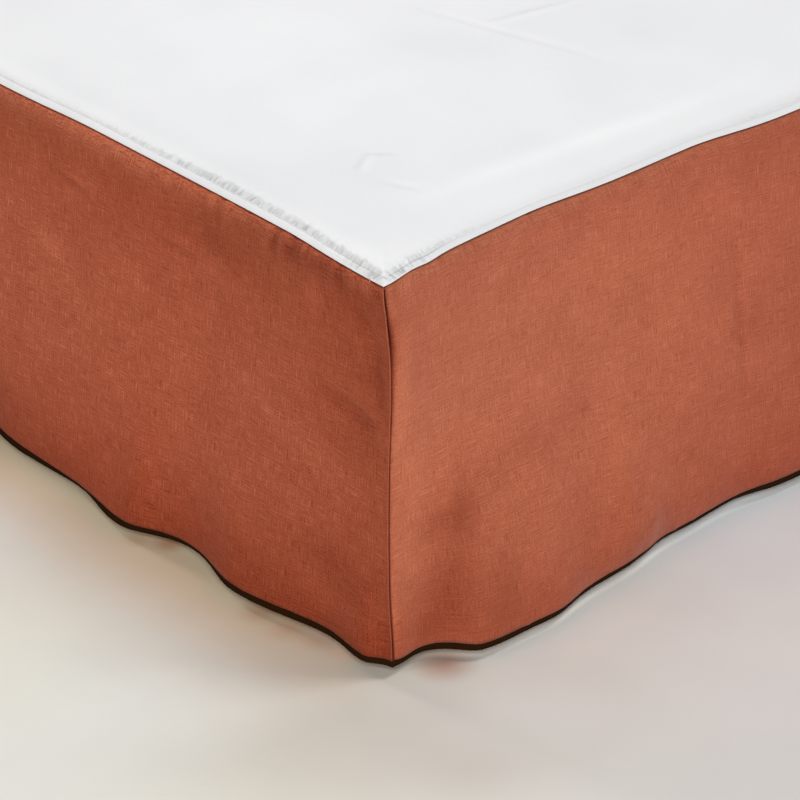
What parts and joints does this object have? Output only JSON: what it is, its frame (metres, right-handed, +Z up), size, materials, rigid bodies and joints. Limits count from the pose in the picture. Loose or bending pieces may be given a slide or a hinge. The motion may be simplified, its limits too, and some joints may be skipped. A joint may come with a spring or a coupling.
{
  "type": "bed skirt on a bed base",
  "caption": "Tailored linen bed skirt with a white cotton deck and a narrow dark bound hem, hung round a plain upholstered bed base on short turned legs; the head end is open.",
  "frame": {"origin": "on the floor, at the middle of the centre leg's foot, which is under the middle of the bed base", "axes": "+Z up, +Y towards the head of the bed, +X to the right for someone who stands at the foot and faces the head"},
  "size_m": [1.7028, 2.0405, 0.371],
  "materials": {
    "skirt_linen": "matt plain-weave linen, terracotta, with slubs",
    "deck_cotton": "matt white cotton, its edge topstitched",
    "binding_dark": "matt near-black brown woven binding",
    "base_ticking": "matt plain natural ticking over a boxed base",
    "leg_wood": "satin oiled hardwood"
  },
  "bodies": {
    "root": {"bed_base": "base_ticking", "leg_centre": "leg_wood", "leg_foot_right": "leg_wood", "leg_foot_left": "leg_wood", "leg_head_right": "leg_wood", "leg_head_left": "leg_wood", "skirt_deck": "deck_cotton", "skirt_panel_foot": "skirt_linen", "skirt_panel_right": "skirt_linen", "skirt_panel_left": "skirt_linen", "hem_binding": "binding_dark"}
  },
  "joints": []
}
